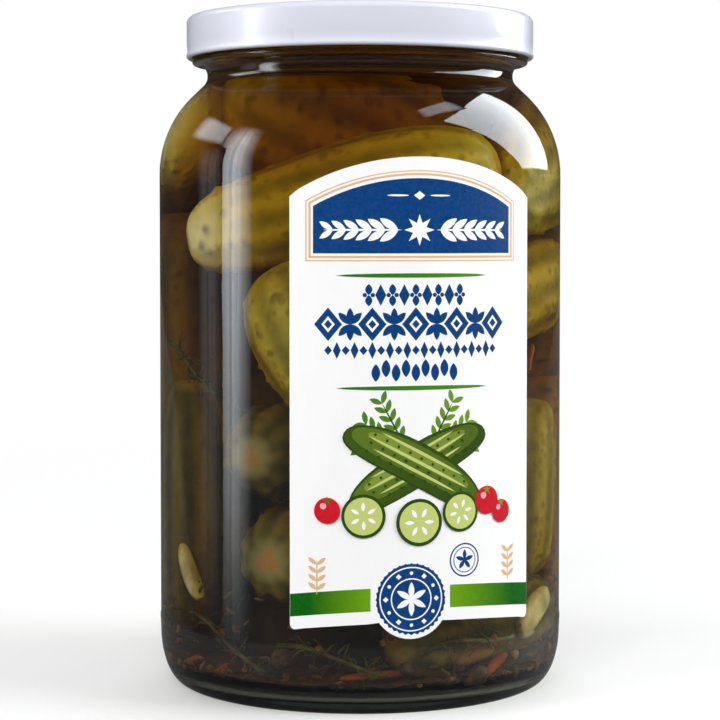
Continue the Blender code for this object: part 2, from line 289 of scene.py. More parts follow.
def noise(tree, scale, detail=3.0, stretch=None, rough=0.5):
    """Noise over the object, in repeats a metre, drawn out along an axis if asked."""
    place = add(tree, "TexCoord").outputs["Object"]
    if stretch:
        place = add(tree, "Mapping", {"Vector": place, "Scale": stretch}).outputs[0]
    values = {"Vector": place, "Scale": scale, "Detail": detail, "Roughness": rough}
    return add(tree, "TexNoise", values).outputs["Fac"]


def attribute(tree, name):
    return add(tree, "Attribute", attribute_name=name).outputs["Fac"]


def spread(tree, value, low, high, to_low=0.0, to_high=1.0):
    """The value's range low to high stretched over another range, and clamped."""
    values = {"Value": value, 1: low, 2: high, 3: to_low, 4: to_high}
    return add(tree, "MapRange", values).outputs[0]


def blend(tree, share, first, second):
    """One colour mixed into another."""
    return add(tree, "Mix", {0: share, 6: first, 7: second}, data_type="RGBA").outputs[2]


def maths(tree, how, first, second=0.0):
    return add(tree, "Math", {0: first, 1: second}, operation=how).outputs[0]


def add_bump(tree, shader, height, depth, strength):
    bump = add(tree, "Bump", {"Height": height, "Distance": depth, "Strength": strength})
    wire(tree, shader, Normal=bump.outputs[0])


def let_lamps_through(tree, shader):
    """Lets light from the lamps reach what the glass or the brine holds."""
    to_lamp = add(tree, "LightPath").outputs["Is Shadow Ray"]
    clear = add(tree, "BsdfTransparent", {"Color": PURE_WHITE})
    both = add(tree, "MixShader", {0: to_lamp, 1: shader.outputs[0], 2: clear.outputs[0]})
    put_out(tree, Surface=both.outputs[0])


def absorb(tree, colour, density):
    volume = add(tree, "VolumeAbsorption", {"Color": colour, "Density": density})
    put_out(tree, Volume=volume.outputs[0])


def glass_material():
    made, tree, shader = material("clear_glass", Base_Color=PURE_WHITE, Transmission_Weight=1.0, IOR=1.5)
    streaks = noise(tree, 38.0, 2.0, (1.0, 1.0, 0.25))
    wire(tree, shader, Roughness=spread(tree, streaks, 0.3, 0.8, 0.0, 0.02))
    add_bump(tree, shader, noise(tree, 60.0, 1.0, (1.0, 1.0, 0.3)), 0.0004, 0.5)
    let_lamps_through(tree, shader)
    absorb(tree, (0.35, 0.62, 0.58, 1.0), 17.0)
    return made


def brine_material():
    made, tree, shader = material("brine", Base_Color=PURE_WHITE, Transmission_Weight=1.0, IOR=1.34)
    wire(tree, shader, Roughness=spread(tree, noise(tree, 30.0, 2.0), 0.3, 0.8, 0.02, 0.09))
    let_lamps_through(tree, shader)
    absorb(tree, (0.89, 0.77, 0.06, 1.0), 130.0)
    return made


def pickle_material():
    """Mottled skin: dark to pale by ripeness and by painted shade and painted light, freckled along its
    ribs.
    """
    made, tree, shader = material("pickle_skin", IOR=1.4, Coat_Weight=0.1)
    rows = attribute(tree, "rows")
    mottle = noise(tree, 260.0, 4.0)
    patches = noise(tree, 55.0, 3.0)
    dark = blend(tree, patches, srgb(27, 26, 10), srgb(52, 49, 20))
    pale = blend(tree, patches, srgb(163, 141, 38), srgb(206, 186, 80))
    along_rows = spread(tree, maths(tree, "ADD", rows, mottle), 0.45, 1.35)
    striped = blend(tree, along_rows, dark, pale)
    unripe = blend(tree, 0.8, striped, dark)
    ripe = blend(tree, 0.45, striped, pale)
    # The ripe attribute carries painted shade on the low, dark pickles and painted light on the palest,
    # besides their ripeness.
    shaded = blend(tree, attribute(tree, "ripe"), unripe, ripe)
    freckled = blend(tree, freckles(tree, rows), shaded, srgb(104, 72, 20))
    tipped = blend(tree, attribute(tree, "ends"), freckled, srgb(226, 214, 168))
    warts = spread(tree, attribute(tree, "warts"), 0.15, 0.8, 0.0, 0.6)
    dotted = blend(tree, warts, tipped, srgb(78, 54, 18))
    scarred = blend(tree, attribute(tree, "scar"), dotted, srgb(176, 100, 34))
    wire(tree, shader, Base_Color=scarred, Roughness=spread(tree, mottle, 0.2, 0.8, 0.28, 0.5))
    add_bump(tree, shader, noise(tree, 700.0, 3.0), 0.0005, 0.5)
    return made


def freckles(tree, rows):
    """Small brown spots, larger and closer along the ribs."""
    place = add(tree, "TexCoord").outputs["Object"]
    cells = add(tree, "TexVoronoi", {"Vector": place, "Scale": 330.0, "Randomness": 0.9})
    size = spread(tree, rows, 0.25, 0.95, 0.12, 0.44)
    edge = maths(tree, "SUBTRACT", size, cells.outputs["Distance"])
    return spread(tree, edge, -0.04, 0.16, 0.0, 0.45)


def soft_food_material(name, light, deep, scale=180.0, roughness=0.4, aged=None):
    """Two tones of one food in a mottle, with a fine bump, browned if it has aged."""
    made, tree, shader = material(name, Roughness=roughness, IOR=1.4)
    tones = blend(tree, spread(tree, noise(tree, scale, 4.0), 0.35, 0.65), deep, light)
    if aged:
        tones = blend(tree, attribute(tree, "browned"), tones, aged)
    wire(tree, shader, Base_Color=tones)
    add_bump(tree, shader, noise(tree, scale * 3.0, 3.0), 0.0004, 0.6)
    return made


def enamel_material():
    made, tree, shader = material("white_enamel", Coat_Weight=0.3, Coat_Roughness=0.08, IOR=1.5)
    white = blend(tree, noise(tree, 25.0, 2.0), srgb(214, 217, 229), srgb(219, 222, 233))
    dull = spread(tree, noise(tree, 90.0, 3.0), 0.3, 0.7, 0.26, 0.36)
    wire(tree, shader, Base_Color=white, Roughness=dull)
    add_bump(tree, shader, noise(tree, 900.0, 2.0), 0.00005, 0.25)
    return made


def paper_material():
    made, tree, shader = material("label_paper", IOR=1.45)
    fibre = noise(tree, 500.0, 4.0, (1.0, 1.0, 0.4))
    white = blend(tree, fibre, srgb(250, 250, 249), srgb(254, 254, 254))
    wire(tree, shader, Base_Color=white, Roughness=spread(tree, fibre, 0.3, 0.7, 0.5, 0.6))
    add_bump(tree, shader, noise(tree, 1500.0, 3.0), 0.00003, 0.3)
    return made


def ink_material(name, colour, other=None, along=(0.0, 1.0)):
    """Printing ink, a little uneven, running to another colour along the label."""
    made, tree, shader = material(name, IOR=1.2)
    if other:
        share = spread(tree, attribute(tree, "along"), *along)
        colour = blend(tree, share, colour, other)
    grain = noise(tree, 1200.0, 3.0)
    uneven = blend(tree, spread(tree, grain, 0.35, 0.75, 0.0, 0.012), colour, PURE_WHITE)
    wire(tree, shader, Base_Color=uneven, Roughness=spread(tree, grain, 0.3, 0.7, 0.42, 0.52))
    return made


# Meshes


def arc(centre, size, start, end, steps):
    """Points (radius, height) on a circle or an upright ellipse; 0 degrees is outwards."""
    across, up = size if isinstance(size, tuple) else (size, size)
    points = []
    for step in range(steps + 1):
        angle = math.radians(start + (end - start) * step / steps)
        points.append((centre[0] + across * math.cos(angle), centre[1] + up * math.sin(angle)))
    return points


def add_object(name, mesh, finish, smooth=True):
    mesh.materials.clear()
    mesh.materials.append(finish)
    if smooth:
        mesh.shade_smooth()
    piece = bpy.data.objects.new(name, mesh)
    bpy.context.scene.collection.objects.link(piece)
    return piece


def lathe(name, profile, finish, sharp=35.0):
    """A turned piece. The profile goes down its outer side."""
    verts = []
    faces = []
    rings = []
    for radius, height in reversed(profile):
        if radius < 1e-7:
            rings.append([len(verts)] * TURN_STEPS)
            verts.append((0.0, 0.0, height))
            continue
        rings.append(range(len(verts), len(verts) + TURN_STEPS))
        for step in range(TURN_STEPS):
            angle = math.tau * step / TURN_STEPS
            verts.append((radius * math.cos(angle), radius * math.sin(angle), height))
    for low, high in zip(rings, rings[1:]):
        for step in range(TURN_STEPS):
            after = (step + 1) % TURN_STEPS
            corners = dict.fromkeys((low[step], low[after], high[after], high[step]))
            faces.append(list(corners))
    mesh = bpy.data.meshes.new(name)
    mesh.from_pydata(verts, [], faces)
    piece = add_object(name, mesh, finish)
    mesh.set_sharp_from_angle(angle=math.radians(sharp))
    return piece


def inner_wall_radius(height):
    """How wide the inside of the jar is at a height."""
    body = BODY_RADIUS - WALL
    if height > SHOULDER_BASE:
        size = SHOULDER_ARC - WALL
        rise = min(height - SHOULDER_BASE, size * math.sin(math.radians(45)))
        drop = max(height - SHOULDER_BASE - rise, 0.0)
        arc_radius = math.sqrt(size**2 - rise**2)
        return max(body - size + arc_radius - drop, NECK_RADIUS - NECK_WALL)
    low = INNER_FLOOR + INNER_HEEL_ARC
    if height < low:
        depth = min(low - height, INNER_HEEL_ARC)
        return body - INNER_HEEL_ARC + math.sqrt(INNER_HEEL_ARC**2 - depth**2)
    return body


def inside_profile(grown=0.0):
    """The inside of the jar from the middle of its floor up to its neck."""
    body = BODY_RADIUS - WALL
    heel = (body - INNER_HEEL_ARC, INNER_FLOOR + INNER_HEEL_ARC)
    profile = [(0.0, INNER_FLOOR + INNER_FLOOR_RISE - grown)]
    profile += [(0.5 * body, INNER_FLOOR + 0.7 * INNER_FLOOR_RISE - grown)]
    profile += arc(heel, INNER_HEEL_ARC + grown, -90, 0, 14)
    profile += arc(SHOULDER_CENTRE, SHOULDER_ARC - WALL + grown, 0, 45, 16)
    profile += arc(NECK_CENTRE, NECK_ARC + NECK_WALL - grown, 225, 180, 10)
    return profile


def make_glass():
    profile = inside_profile()
    profile += arc((MOUTH_RADIUS + RIM_ARC, JAR_HEIGHT - RIM_ARC), RIM_ARC, 180, 90, 5)
    profile += arc((FINISH_RADIUS - RIM_ARC, JAR_HEIGHT - RIM_ARC), RIM_ARC, 90, 0, 5)
    profile += [(FINISH_RADIUS, BEAD_LEVEL + 2 * BEAD_ARC)]
    profile += arc((BEAD_RADIUS - BEAD_ARC, BEAD_LEVEL), BEAD_ARC, 90, -90, 10)
    profile += arc(NECK_CENTRE, NECK_ARC, 126, 225, 20)
    profile += arc(SHOULDER_CENTRE, SHOULDER_ARC, 45, 0, 24)
    # A low step where the mould's base plate met its sides
    step = MOULD_LINE_HEIGHT
    profile += [
        (BODY_RADIUS, MOULD_LINE_LEVEL + 5 * step),
        (BODY_RADIUS + step, MOULD_LINE_LEVEL + 2 * step),
        (BODY_RADIUS + step, MOULD_LINE_LEVEL - 2 * step),
    ]
    foot_outside = BODY_RADIUS - HEEL_WIDTH
    foot_inside = foot_outside - FOOT_WIDTH
    profile += arc((foot_outside, HEEL_HEIGHT), (HEEL_WIDTH, HEEL_HEIGHT), 0, -90, 24)
    profile += [
        (foot_inside, 0.0),
        (foot_inside - 0.4 * PUSH_UP, 0.25 * PUSH_UP),
        (foot_inside - PUSH_UP, 0.7 * PUSH_UP),
        (foot_inside - 2 * PUSH_UP, 0.92 * PUSH_UP),
        (0.5 * foot_inside, PUSH_UP),
        (0.0, 1.1 * PUSH_UP),
    ]
    glass = lathe("glass_body", profile, glass_material(), 50.0)
    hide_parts("glass_jar")
    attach(glass, "root")


def make_brine():
    """Brine up to the neck, reaching just into the glass, with a meniscus."""
    edge = MOUTH_RADIUS + BRINE_IN_WALL
    profile = inside_profile(BRINE_IN_WALL)
    profile += [
        (edge, BRINE_LEVEL),
        (edge - 0.3 * MM, BRINE_LEVEL + 0.3 * MM),
        (edge - 1.2 * MM, BRINE_LEVEL - 0.3 * MM),
        (edge - 3.0 * MM, BRINE_LEVEL - 0.6 * MM),
        (0.0, BRINE_LEVEL - 0.6 * MM),
    ]
    brine = lathe("brine", profile[::-1], brine_material())
    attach(brine, "root")


def make_lid():
    ring_inside = LID_RADIUS - LID_CORNER - LID_RING_WIDTH
    panel_edge_radius = ring_inside - LID_PANEL_DROP
    panel_top = LID_TOP - LID_PANEL_DROP
    corner = (LID_RADIUS - LID_TAPER - LID_CORNER, LID_TOP - LID_CORNER)
    curl = (LID_RADIUS - CURL_ARC, LID_BOTTOM + CURL_ARC)
    profile = [
        (0.0, panel_top + BUTTON_RISE),
        (0.92 * BUTTON_RADIUS, panel_top + BUTTON_RISE),
        (BUTTON_RADIUS + BUTTON_RISE, panel_top + 0.75 * BUTTON_RISE),
        (BUTTON_RADIUS + 2 * BUTTON_RISE, panel_top + 0.1 * BUTTON_RISE),
        (BUTTON_RADIUS + 3 * BUTTON_RISE, panel_top),
        (panel_edge_radius - 0.6 * MM, panel_top),
        (panel_edge_radius, panel_top + 0.15 * LID_PANEL_DROP),
        (ring_inside - 0.3 * MM, LID_TOP - 0.15 * LID_PANEL_DROP),
        (ring_inside + 0.4 * MM, LID_TOP),
    ]
    profile += arc(corner, LID_CORNER, 90, 0, 12)
    # The side draws in a touch above the rolled edge
    profile += [
        (LID_RADIUS - 0.12 * MM, LID_BOTTOM + 4.2 * CURL_ARC),
        (LID_RADIUS - 0.3 * MM, LID_BOTTOM + 2.4 * CURL_ARC),
    ]
    profile += arc(curl, CURL_ARC, 20, -180, 14)
    profile += [(LID_RADIUS - LID_SHEET - LID_TAPER, LID_BOTTOM + 3 * CURL_ARC)]
    profile += arc(corner, LID_CORNER - LID_SHEET, 0, 90, 4)
    profile += [
        (ring_inside - 0.5 * LID_SHEET, LID_TOP - LID_SHEET),
        (panel_edge_radius - 0.5 * LID_SHEET, panel_top - LID_SHEET),
        (0.0, panel_top - LID_SHEET),
    ]
    lid = lathe("white_lid", profile, enamel_material(), 60.0)
    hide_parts("lid")
    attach(lid, "root")


# Pickles


def around(turn, distance, height):
    """A point at an angle in degrees from the front towards +X."""
    angle = math.radians(turn)
    return np.array([distance * math.sin(angle), -distance * math.cos(angle), height])


def leaning(turn, lean, tip=0.0):
    """An upright direction leant towards +X seen from outside, or outwards."""
    across = around(turn + 90.0, 1.0, 0.0)
    outwards = around(turn, 1.0, 0.0)
    lean, tip = math.radians(lean), math.radians(tip)
    up = np.array([0.0, 0.0, math.cos(lean) * math.cos(tip)])
    return across * math.sin(lean) + outwards * math.cos(lean) * math.sin(tip) + up


def settled_pickles():
    """Middle and direction of each pickle once none lies in another or the glass.

    Each pickle is a row of balls. Balls that meet push their pickles apart and
    turn them, and balls that reach the glass are pushed back in.
    """
    rows = np.array(list(PICKLES.values()), dtype=float)
    middles = np.array([around(row[0], row[1] * MM, row[2] * MM) for row in rows])
    ways = np.array([leaning(row[0], row[3], row[4]) for row in rows])
    lengths = rows[:, 5] * MM
    girths = rows[:, 6] * MM
    count = len(rows)
    places = np.linspace(-1.0, 1.0, BALLS_PER_PICKLE)
    sizes = 0.5 * girths[:, None] * (0.6 + 0.4 * np.sqrt(1.0 - places**2))[None, :]
    reach = (0.5 * lengths[:, None] - sizes) * places[None, :]
    owner = np.repeat(np.arange(count), BALLS_PER_PICKLE)
    other = owner[:, None] != owner[None, :]
    for _ in range(SETTLE_ROUNDS):
        balls = (middles[:, None, :] + ways[:, None, :] * reach[:, :, None]).reshape(-1, 3)
        radii = sizes.reshape(-1)
        apart = balls[:, None, :] - balls[None, :, :]
        distance = np.linalg.norm(apart, axis=2) + 1e-9
        overlap = np.where(other, radii[:, None] + radii[None, :] - distance, 0.0)
        overlap = np.maximum(overlap, 0.0)
        push = 0.5 * (apart / distance[:, :, None] * overlap[:, :, None]).sum(axis=1)
        for i, (ball, radius) in enumerate(zip(balls, radii)):
            from_axis = math.hypot(ball[0], ball[1])
            room = inner_wall_radius(ball[2]) - PICKLE_CLEARANCE - radius
            if from_axis > room:
                push[i, :2] -= ball[:2] / from_axis * (from_axis - room)
            floor = INNER_FLOOR + INNER_FLOOR_RISE + PICKLE_CLEARANCE + radius
            push[i, 2] += max(floor - ball[2], 0.0)
            push[i, 2] -= max(ball[2] + radius - HEAP_TOP, 0.0)
        shares = push.reshape(count, BALLS_PER_PICKLE, 3)
        middles += SETTLE_STEP * shares.sum(axis=1) / 3
        arms = ways[:, None, :] * reach[:, :, None]
        turns = np.cross(arms, shares).sum(axis=1) / (reach**2).sum(axis=1)[:, None]
        ways += SETTLE_STEP * np.cross(turns, ways)
        ways /= np.linalg.norm(ways, axis=1)[:, None]
    return middles, ways


def ball_grid(sides, rings):
    """Points on a unit ball, pole to pole, and the faces between them."""
    points = [(0.0, 0.0, -1.0)]
    faces = []
    for ring in range(1, rings):
        latitude = math.pi * (ring / rings - 0.5)
        for side in range(sides):
            angle = math.tau * side / sides
            flat = math.cos(latitude)
            points.append((flat * math.cos(angle), flat * math.sin(angle), math.sin(latitude)))
    points.append((0.0, 0.0, 1.0))
    for side in range(sides):
        after = (side + 1) % sides
        faces.append((0, 1 + after, 1 + side))
        top = 1 + (rings - 2) * sides
        faces.append((len(points) - 1, top + side, top + after))
        for ring in range(rings - 2):
            low = 1 + ring * sides
            high = low + sides
            faces.append((low + side, low + after, high + after, high + side))
    return np.array(points), faces


def drawn_out(points, length, girth, bow):
    """A unit ball drawn out into a blunt, bowed pickle."""
    share = points[:, 2]
    flat = np.hypot(points[:, 0], points[:, 1])
    fat = np.where(flat > 1e-6, np.maximum(flat, 1e-6) ** -SIDE_BLUNTNESS, 0.0)
    shaped = np.empty_like(points)
    shaped[:, 0] = 0.5 * girth * points[:, 0] * fat + bow * (0.4 - share**2)
    shaped[:, 1] = 0.5 * girth * points[:, 1] * fat
    shaped[:, 2] = 0.5 * length * np.sign(share) * np.abs(share) ** END_BLUNTNESS
    return shaped


def placed(points, middle, way):
    turn = Vector(way).to_track_quat("Z", "Y").to_matrix()
    return points @ np.array(turn).T + np.array(middle)


def pressed_inside(points, clearance=GLASS_CLEARANCE):
    """Flattens what would stand into the glass against its inner side."""
    for point in points:
        from_axis = math.hypot(point[0], point[1])
        room = inner_wall_radius(point[2]) - clearance
        if from_axis > room:
            point[:2] *= room / from_axis
        point[2] = max(point[2], INNER_FLOOR + INNER_FLOOR_RISE + clearance)
    return points


def warty(points, unit, length, girth, rng):
    """Raises rows of warts and long low ribs; returns the points and both heights."""
    outwards = unit * np.array([1.0 / girth, 1.0 / girth, 1.0 / length])
    outwards /= np.linalg.norm(outwards, axis=1)[:, None]
    angle = np.arctan2(unit[:, 1], unit[:, 0])
    side = np.hypot(unit[:, 0], unit[:, 1])
    ribs = np.cos(WART_ROWS * angle) * side
    warts = np.zeros(len(points))
    for _ in range(WARTS):
        row = rng.integers(WART_ROWS) * math.tau / WART_ROWS + rng.normal(0.0, 0.12)
        share = rng.uniform(-0.9, 0.9)
        flat = math.sqrt(1.0 - share**2)
        aim = np.array([flat * math.cos(row), flat * math.sin(row), share])
        nearest = points[np.argmax(unit @ aim)]
        size = rng.uniform(0.7, 1.35) * MM
        distance = np.linalg.norm(points - nearest, axis=1)
        warts = np.maximum(warts, np.exp(-((distance / size) ** 2)) * rng.uniform(0.55, 1.0))
    lumps = np.zeros(len(points))
    for _ in range(5):
        way = rng.normal(size=3)
        lumps += np.sin(points @ (way / np.linalg.norm(way)) / (6.5 * MM) + rng.uniform(0, 6))
    lift = WART_LIFT * warts + RIB_LIFT * ribs + LUMP_LIFT * lumps
    return points + outwards * lift[:, None], warts, 0.5 + 0.5 * ribs


def join_meshes(name, parts, finish):
    """One piece from (points, faces, values of each attribute) of many."""
    points = np.concatenate([part[0] for part in parts])
    faces = []
    start = 0
    for part in parts:
        faces += [[start + corner for corner in face] for face in part[1]]
        start += len(part[0])
    mesh = bpy.data.meshes.new(name)
    mesh.from_pydata(points.tolist(), [], faces)
    for key in parts[0][2]:
        values = np.concatenate([part[2][key] for part in parts])
        made = mesh.attributes.new(key, "FLOAT", "POINT")
        made.data.foreach_set("value", values.astype(np.float32))
    return add_object(name, mesh, finish)


def pale_end(name, unit):
    """How far the skin pales towards the ends of a pickle."""
    if name not in PALE_ENDS:
        return np.clip((np.abs(unit[:, 2]) - 0.93) * 9.0, 0.0, 1.0) * 0.4
    way, start = PALE_ENDS[name]
    return np.clip((way * unit[:, 2] - start) * 2.6, 0.0, 1.0)


def end_scar(name, unit, rng):
    """The rough round scars where the flower and the stalk were."""
    angle = np.arctan2(unit[:, 1], unit[:, 0])
    edge = 0.989 + 0.003 * np.sin(3 * angle + rng.uniform(0, 6))
    return np.clip((np.abs(unit[:, 2]) - edge) * 90.0, 0.0, 1.0) * SCARS.get(name, 0.2)


def make_pickles():
    """Every pickle at its settled place, with warts, ribs and a colour that is partly its own and partly
    painted shade and light.
    """
    rng = np.random.default_rng(7)
    unit, faces = ball_grid(PICKLE_SIDES, PICKLE_RINGS)
    middles, ways = settled_pickles()
    parts = []
    for (name, row), middle, way in zip(PICKLES.items(), middles, ways):
        length, girth, bow = (value * MM for value in row[5:8])
        shaped = drawn_out(unit, length, girth, bow)
        shaped, warts, rows = warty(shaped, unit, length, girth, rng)
        # Ripeness here also carries painted shade on the low, dark pickles and painted light on the palest
        # ones, and the ripe attribute passes it on.
        ripe = RIPENESS.get(name, rng.uniform(0.3, 0.7))
        belly = 0.18 * np.cos(np.arctan2(unit[:, 1], unit[:, 0]) + rng.uniform(0, 6))
        values = {
            "ripe": np.clip(ripe + belly, 0.0, 1.0),
            "rows": rows,
            "warts": warts,
            "ends": pale_end(name, unit),
            "scar": end_scar(name, unit, rng),
        }
        parts.append((pressed_inside(placed(shaped, middle, way)), faces, values))
    pickles = join_meshes("cucumbers", parts, pickle_material())
    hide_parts("pickles")
    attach(pickles, "root")


def laid(shaped, turn, distance, height, lean):
    """A shape laid in the jar at an angle, a distance from the axis and a height."""
    middle = around(turn, distance * MM, height * MM)
    return pressed_inside(placed(shaped, middle, leaning(turn, lean)))


def make_cloves():
    rng = np.random.default_rng(3)
    unit, faces = ball_grid(24, 20)
    parts = []
    for name, (*place, length, girth) in CLOVES.items():
        shaped = drawn_out(unit, length * MM, girth * MM, 1.0 * MM)
        browned = {"browned": np.full(len(shaped), BROWNED.get(name, 0.0))}
        ridge = np.cos(3 * np.arctan2(unit[:, 1], unit[:, 0]) + rng.uniform(0, 6))
        shaped[:, :2] *= (1.0 + 0.08 * ridge)[:, None]
        parts.append((laid(shaped, *place), faces, browned))
    finish = soft_food_material("garlic", srgb(204, 192, 160), srgb(150, 134, 98), aged=srgb(92, 58, 24))
    cloves = join_meshes("garlic_cloves", parts, finish)
    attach(cloves, "root")


def make_vegetable_bits():
    rng = np.random.default_rng(5)
    unit, faces = ball_grid(20, 14)
    parts = []
    for *place, length, girth in VEGETABLE_BITS.values():
        shaped = drawn_out(unit, length * MM, girth * MM, 0.8 * MM)
        shaped[:, 1] *= 0.55
        shaped += rng.normal(0.0, 0.03 * MM, shaped.shape)
        parts.append((laid(shaped, *place), faces, {}))
    finish = soft_food_material("pepper", srgb(150, 68, 26), srgb(104, 48, 18), 220.0)
    bits = join_meshes("vegetable_bits", parts, finish)
    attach(bits, "root")


def scattered(name, count, length, girth, highest, finish, rng):
    """Small bits strewn on the floor of the jar and up against its glass."""
    unit, faces = ball_grid(8, 6)
    parts = []
    for _ in range(count):
        height = INNER_FLOOR + INNER_FLOOR_RISE + 1.5 * MM + highest * MM * rng.random() ** 2.5
        distance = inner_wall_radius(height) - rng.uniform(1.2, 7.0) * MM
        middle = around(rng.uniform(-180, 180), distance, height)
        size = rng.uniform(0.7, 1.3)
        shaped = drawn_out(unit, size * length * MM, size * girth * MM, 0.1 * length * MM)
        way = rng.normal(size=3)
        way[2] *= 0.35
        parts.append((pressed_inside(placed(shaped, middle, way)), faces, {}))
    bits = join_meshes(name, parts, finish)
    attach(bits, "root")


def make_spices():
    rng = np.random.default_rng(11)
    mustard = soft_food_material("mustard_seed", srgb(116, 84, 40), srgb(72, 48, 22), 600.0)
    scattered("mustard_seeds", 80, 1.9, 1.8, 12, mustard, rng)
    corn = soft_food_material("peppercorn", srgb(74, 52, 34), srgb(28, 20, 14), 900.0, 0.6)
    scattered("peppercorns", 22, 4.2, 4.1, 10, corn, rng)
    flake = soft_food_material("spice_flake", srgb(96, 72, 42), srgb(48, 34, 18), 400.0)
    scattered("spice_flakes", 260, 2.6, 0.8, 22, flake, rng)


def thread(points, thickness, sides=6):
    """A thin round stalk through a row of points, closed at both ends."""
    verts = []
    faces = []
    for step, point in enumerate(points):
        before = points[max(step - 1, 0)]
        after = points[min(step + 1, len(points) - 1)]
        turn = np.array(Vector(after - before).to_track_quat("Z", "Y").to_matrix())
        for side in range(sides):
            angle = math.tau * side / sides
            flat = np.array([math.cos(angle), math.sin(angle), 0.0]) * 0.5 * thickness
            verts.append(point + turn @ flat)
    for step in range(len(points) - 1):
        for side in range(sides):
            after = (side + 1) % sides
            low = step * sides
            faces.append((low + side, low + after, low + sides + after, low + sides + side))
    faces.append(tuple(range(sides))[::-1])
    faces.append(tuple(range(len(verts) - sides, len(verts))))
    return np.array(verts), faces, {}


def make_dill():
    """Stalks of dill lying along the glass, with fine threads on them."""
    rng = np.random.default_rng(9)
    parts = []
    for turn, height, last_turn, last_height in DILL_STALKS.values():
        stalk = []
        for step in range(15):
            share = step / 14
            level = (height + (last_height - height) * share + 1.2 * math.sin(5 * share)) * MM
            radius = inner_wall_radius(level) - (1.6 + 0.6 * math.sin(9 * share)) * MM
            stalk.append(around(turn + (last_turn - turn) * share, radius, level))
        parts.append(thread(stalk, 1.0 * MM))
        for step in range(3, 14):
            for _ in range(3):
                reach = rng.normal(size=3) * 2.4 * MM
                bend = rng.normal(size=3) * 0.7 * MM
                hair = [stalk[step], stalk[step] + 0.5 * reach + bend, stalk[step] + reach]
                hair = pressed_inside(np.array(hair), 0.8 * MM)
                parts.append(thread(hair, 0.35 * MM, 4))
    finish = soft_food_material("dill", srgb(84, 76, 34), srgb(42, 36, 18), 300.0)
    dill = join_meshes("dill", parts, finish)
    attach(dill, "root")


def make_sediment():
    """A low brown drift of spice on the floor of the jar."""
    unit, faces = ball_grid(120, 60)
    floor = INNER_FLOOR + INNER_FLOOR_RISE
    drift = unit * np.array([DRIFT_RADIUS, DRIFT_RADIUS, DRIFT_DEPTH])
    ripple = np.sin(drift[:, 0] / (3.1 * MM)) * np.sin(drift[:, 1] / (2.7 * MM) + 1.0)
    ripple += 0.6 * np.sin((drift[:, 0] + drift[:, 1]) / (1.3 * MM))
    drift[:, 2] += floor + 1.9 * MM + 0.3 * MM * ripple
    finish = soft_food_material("spice_drift", srgb(74, 48, 22), srgb(34, 22, 12), 500.0, 0.7)
    drift = join_meshes("sediment", [(pressed_inside(drift), faces, {})], finish)
    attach(drift, "root")


def make_core():
    """The dark mass of pickles behind the ones that show; its dark finish is partly painted shade."""
    mesh = bpy.data.meshes.new("core")
    shape = bmesh.new()
    bmesh.ops.create_cone(
        shape,
        cap_ends=True,
        segments=48,
        radius1=CORE_RADIUS,
        radius2=CORE_RADIUS * 0.9,
        depth=CORE_TOP - CORE_BOTTOM,
        matrix=Matrix.Translation((0.0, 0.0, 0.5 * (CORE_TOP + CORE_BOTTOM))),
    )
    shape.to_mesh(mesh)
    shape.free()
    # These dark tones stand partly for the pickles' colour and partly for the shade in the packed middle of
    # the jar: painted shade.
    finish = soft_food_material("pickle_core", srgb(84, 80, 26), srgb(40, 34, 10), 60.0)
    core = add_object("pickle_core", mesh, finish)
    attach(core, "root")


# Label


def label_base(along):
    half = 0.5 * LABEL_WIDTH
    radius = (half**2 + LABEL_BASE_ARCH**2) / (2 * LABEL_BASE_ARCH)
    return LABEL_BOTTOM + LABEL_BASE_ARCH - radius + math.sqrt(radius**2 - along**2)


def arch_points(half, shoulder, rise, middle=0.0, steps=28):
    """The arched top of a field, from its right end to its left."""
    radius = (half**2 + rise**2) / (2 * rise)
    half_angle = math.degrees(math.asin(half / radius))
    centre = (middle, shoulder + rise - radius)
    return arc(centre, radius, 90 - half_angle, 90 + half_angle, steps)


def base_points(start, end, steps):
    """Points on the label's bottom edge between two places along it."""
    alongs = [start + (end - start) * step / steps for step in range(1, steps)]
    return [(along, label_base(along)) for along in alongs]


def paper_outline():
    half = 0.5 * LABEL_WIDTH
    corner = LABEL_CORNER
    outline = arch_points(half, LABEL_SHOULDER, LABEL_ARCH)
    outline[0] = (half, LABEL_SHOULDER - 0.4 * MM)
    outline[-1] = (-half, LABEL_SHOULDER - 0.4 * MM)
    outline += arc((-half + corner, label_base(half) + corner), corner, 180, 265, 5)
    seal_top = LABEL_BOTTOM + LABEL_BASE_ARCH - SEAL_LEVEL
    seal_angle = math.degrees(math.asin(seal_top / SEAL_RADIUS))
    seal = arc((SEAL_ALONG, SEAL_LEVEL), SEAL_RADIUS, 180 - seal_angle, 360 + seal_angle, 28)
    outline += base_points(-half + corner, seal[0][0], 8) + seal
    outline += base_points(seal[-1][0], half - corner, 12)
    outline += arc((half - corner, label_base(half) + corner), corner, 275, 360, 5)
    return outline


